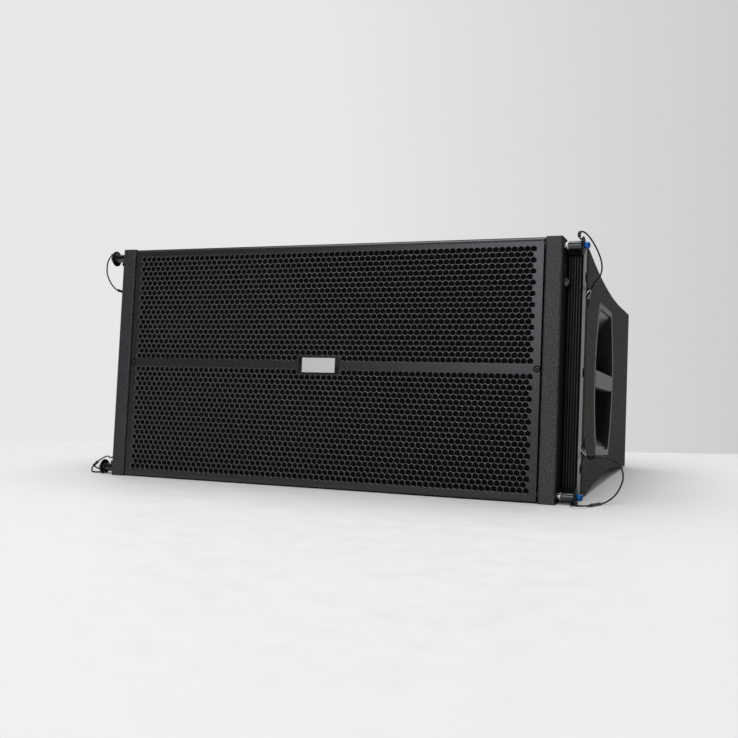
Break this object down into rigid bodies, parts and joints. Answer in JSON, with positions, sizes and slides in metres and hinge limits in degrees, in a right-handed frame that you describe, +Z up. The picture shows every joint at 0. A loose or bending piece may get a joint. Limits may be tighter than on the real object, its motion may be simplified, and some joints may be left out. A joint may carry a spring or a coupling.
{
  "type": "line array speaker",
  "caption": "Wide loudspeaker cabinet with a honeycomb grille, side rigging columns, quick-release pins on lanyards and recessed handles, swept back at top and bottom.",
  "frame": {"origin": "under the middle of the cabinet, at the height of the columns' lower ends", "axes": "+X to the right as the audience sees it, +Y to the back, +Z up"},
  "size_m": [0.762, 0.5269, 0.3348],
  "materials": {
    "coat": "coarse textured coating, matte",
    "bare_ply": "black stained plywood, matte",
    "grille_black": "satin powder coat",
    "foam": "open cell foam, matte",
    "badge_dark": "gloss",
    "badge_silver": "satin, bare",
    "column_black": "fine textured powder coat",
    "rail_black": "smooth black paint",
    "block_black": "matte",
    "screw_dark": "blackened",
    "link_steel": "zinc plated",
    "knob_black": "gloss",
    "pin_gunmetal": "black anodised barrel on a bright shaft",
    "button_blue": "blue anodised",
    "wire_black": "black coated wire",
    "ring_steel": "bright",
    "handle_grey": "satin moulded",
    "grip_grey": "satin moulded",
    "basket_black": "painted",
    "magnet_grey": "plain",
    "cone_black": "coated paper",
    "surround_black": "matte",
    "horn_black": "satin",
    "board_green": "circuit board",
    "socket_black": "satin"
  },
  "bodies": {
    "cabinet": {"side_panel_left": "coat", "side_panel_right": "coat", "top_panel": "coat", "bottom_panel": "coat", "back_panel": "coat", "front_baffle": "bare_ply", "grille": "grille_black", "grille_foam": "foam", "grille_battens": "bare_ply", "grille_screws": "screw_dark", "badge_frame": "badge_dark", "badge_plate": "badge_silver", "front_column_left": "column_black", "front_column_right": "column_black", "side_rail_left": "rail_black", "side_rail_right": "rail_black", "rail_end_blocks": "block_black", "rail_screws": "screw_dark", "lanyard_top_left": "wire_black", "lanyard_top_right": "wire_black", "lanyard_bottom_left": "wire_black", "lanyard_bottom_right": "wire_black", "lanyard_rings": "ring_steel", "handle_cup_left": "handle_grey", "handle_cup_right": "handle_grey", "handle_grip_left": "grip_grey", "handle_grip_right": "grip_grey", "handle_screws": "screw_dark", "woofer_baskets": "basket_black", "woofer_magnets": "magnet_grey", "woofer_surround_left": "surround_black", "woofer_surround_right": "surround_black", "woofer_screws": "screw_dark", "hf_waveguide": "horn_black", "hf_drivers": "magnet_grey", "crossover_board": "board_green", "rear_bracket": "rail_black", "splay_bolt": "link_steel", "connector_panel": "rail_black", "connector_sockets": "socket_black", "rear_screws": "screw_dark"},
    "front_link_left": {"front_link_left": "link_steel", "link_knob_left": "knob_black"},
    "front_link_right": {"front_link_right": "link_steel", "link_knob_right": "knob_black"},
    "splay_arm": {"splay_arm": "link_steel"},
    "rear_pin": {"rear_lock_pin": "pin_gunmetal"},
    "rear_button": {"rear_pin_button": "button_blue"},
    "cone_left": {"woofer_cone_left": "cone_black"},
    "cone_right": {"woofer_cone_right": "cone_black"},
    "pin_top_left": {"lock_pin_top_left": "pin_gunmetal"},
    "button_top_left": {"pin_button_top_left": "button_blue"},
    "pin_top_right": {"lock_pin_top_right": "pin_gunmetal"},
    "button_top_right": {"pin_button_top_right": "button_blue"},
    "pin_bottom_left": {"lock_pin_bottom_left": "pin_gunmetal"},
    "button_bottom_left": {"pin_button_bottom_left": "button_blue"},
    "pin_bottom_right": {"lock_pin_bottom_right": "pin_gunmetal"},
    "button_bottom_right": {"pin_button_bottom_right": "button_blue"}
  },
  "joints": [
    {"name": "link_left_slide", "type": "slide", "parent": "cabinet", "child": "front_link_left", "axis": [0, 0, 1], "range_m": [0, 0.0204]},
    {"name": "link_right_slide", "type": "slide", "parent": "cabinet", "child": "front_link_right", "axis": [0, 0, 1], "range_m": [0, 0.0204]},
    {"name": "pin_top_left_pull", "type": "slide", "parent": "cabinet", "child": "pin_top_left", "axis": [-1, 0, 0], "range_m": [0, 0.04], "deforming": ["lanyard_top_left"]},
    {"name": "button_top_left_press", "type": "slide", "parent": "pin_top_left", "child": "button_top_left", "axis": [1, 0, 0], "range_m": [0, 0.003], "stiffness_N_per_m": 400, "springref_m": -0.001},
    {"name": "pin_top_right_pull", "type": "slide", "parent": "cabinet", "child": "pin_top_right", "axis": [1, 0, 0], "range_m": [0, 0.04], "deforming": ["lanyard_top_right"]},
    {"name": "button_top_right_press", "type": "slide", "parent": "pin_top_right", "child": "button_top_right", "axis": [-1, 0, 0], "range_m": [0, 0.003], "stiffness_N_per_m": 400, "springref_m": -0.001},
    {"name": "pin_bottom_left_pull", "type": "slide", "parent": "cabinet", "child": "pin_bottom_left", "axis": [-1, 0, 0], "range_m": [0, 0.04], "deforming": ["lanyard_bottom_left"]},
    {"name": "button_bottom_left_press", "type": "slide", "parent": "pin_bottom_left", "child": "button_bottom_left", "axis": [1, 0, 0], "range_m": [0, 0.003], "stiffness_N_per_m": 400, "springref_m": -0.001},
    {"name": "pin_bottom_right_pull", "type": "slide", "parent": "cabinet", "child": "pin_bottom_right", "axis": [1, 0, 0], "range_m": [0, 0.04], "deforming": ["lanyard_bottom_right"]},
    {"name": "button_bottom_right_press", "type": "slide", "parent": "pin_bottom_right", "child": "button_bottom_right", "axis": [-1, 0, 0], "range_m": [0, 0.003], "stiffness_N_per_m": 400, "springref_m": -0.001},
    {"name": "splay_arm_fold", "type": "hinge", "parent": "cabinet", "child": "splay_arm", "pos_m": [0, 0.242, 0.2532], "axis": [1, 0, 0], "range_deg": [0, 170]},
    {"name": "rear_pin_pull", "type": "slide", "parent": "cabinet", "child": "rear_pin", "axis": [1, 0, 0], "range_m": [0, 0.04]},
    {"name": "rear_button_press", "type": "slide", "parent": "rear_pin", "child": "rear_button", "axis": [-1, 0, 0], "range_m": [0, 0.003], "stiffness_N_per_m": 400, "springref_m": -0.001},
    {"name": "cone_left_stroke", "type": "slide", "parent": "cabinet", "child": "cone_left", "axis": [0, 1, 0], "range_m": [-0.005, 0.005], "stiffness_N_per_m": 3000, "deforming": ["woofer_surround_left"]},
    {"name": "cone_right_stroke", "type": "slide", "parent": "cabinet", "child": "cone_right", "axis": [0, 1, 0], "range_m": [-0.005, 0.005], "stiffness_N_per_m": 3000, "deforming": ["woofer_surround_right"]}
  ]
}
